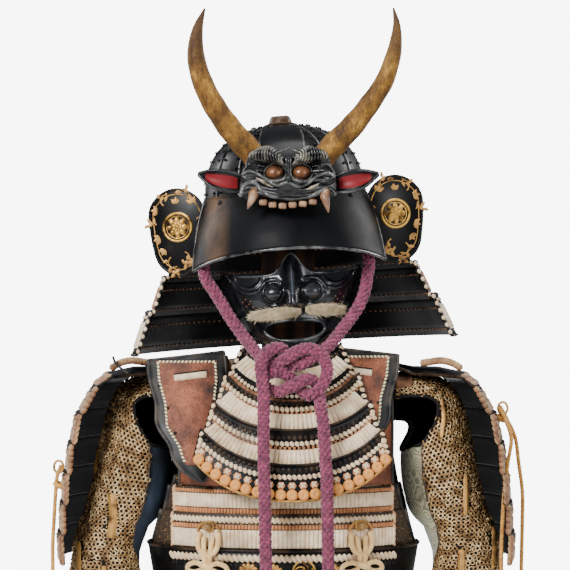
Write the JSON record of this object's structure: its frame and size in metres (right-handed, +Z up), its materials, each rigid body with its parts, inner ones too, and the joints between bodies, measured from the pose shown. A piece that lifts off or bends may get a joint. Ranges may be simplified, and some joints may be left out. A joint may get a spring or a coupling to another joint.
{
  "type": "samurai armour on a wooden stand",
  "caption": "Laced lamellar armour with horned demon-crest helmet, moustached mask, mail sleeves and tassets, dressed on a limbless wooden stand",
  "frame": {"origin": "on the floor, under the middle of the stand's base", "axes": "+Z up, the armour faces -Y, +X is the viewer's right"},
  "size_m": [0.6549, 0.47, 1.3477],
  "materials": {
    "black_lacquer": "black lacquer over iron and rawhide, semi-gloss, worn brown at edges",
    "laced_lames": "cream and orange-brown silk lacing close over lacquered lames",
    "gilt_plate": "worn gilding on leather and copper",
    "horn": "mottled golden-brown horn with dark tips",
    "red_lacquer": "red lacquer inside black ears",
    "fur": "cream animal hair",
    "leaf_leather": "pitted red-brown leather with a slate border",
    "mail_sleeve": "brass-brown mail with splints, sewn on padded cloth",
    "helmet_cord": "braided mauve silk cord",
    "guard_cord": "braided yellow cord",
    "stand_wood": "stained wood, satin",
    "brown_metal": "brown patinated copper"
  },
  "bodies": {
    "root": {"helmet_bowl": "black_lacquer", "top_fitting": "brown_metal", "visor": "black_lacquer", "neck_guard_1": "black_lacquer", "neck_guard_2": "black_lacquer", "neck_guard_3": "black_lacquer", "neck_guard_4": "black_lacquer", "flap_right": "black_lacquer", "flap_left": "black_lacquer", "crest_face": "black_lacquer", "crest_bracket": "black_lacquer", "horn_left": "horn", "horn_right": "horn", "ear_right": "red_lacquer", "ear_left": "red_lacquer", "mask": "black_lacquer", "moustache": "fur", "throat_guard_1": "laced_lames", "throat_guard_2": "laced_lames", "throat_guard_3": "laced_lames", "throat_guard_4": "laced_lames", "front_lame_1": "laced_lames", "front_lame_2": "laced_lames", "chest_plate": "gilt_plate", "back_lame_1": "laced_lames", "back_lame_2": "laced_lames", "back_plate": "black_lacquer", "ring_1": "black_lacquer", "ring_2": "black_lacquer", "ring_3": "black_lacquer", "ring_4": "black_lacquer", "tasset_front": "laced_lames", "tasset_front_right": "laced_lames", "tasset_right": "laced_lames", "tasset_back_right": "laced_lames", "tasset_back_left": "laced_lames", "tasset_left": "laced_lames", "tasset_front_left": "laced_lames", "strap_right": "leaf_leather", "leaf_right": "leaf_leather", "shoulder_guard_right": "laced_lames", "shoulder_top_right": "black_lacquer", "sleeve_right": "mail_sleeve", "hand_guard_right": "black_lacquer", "helmet_cord_right": "helmet_cord", "helmet_tail_right": "helmet_cord", "guard_cord_right": "guard_cord", "strap_left": "leaf_leather", "leaf_left": "leaf_leather", "shoulder_guard_left": "laced_lames", "shoulder_top_left": "black_lacquer", "sleeve_left": "mail_sleeve", "hand_guard_left": "black_lacquer", "helmet_cord_left": "helmet_cord", "helmet_tail_left": "helmet_cord", "guard_cord_left": "guard_cord", "helmet_cord_knot": "helmet_cord", "stand_base": "stand_wood", "stand_frame": "stand_wood", "stand_head": "stand_wood"}
  },
  "joints": []
}
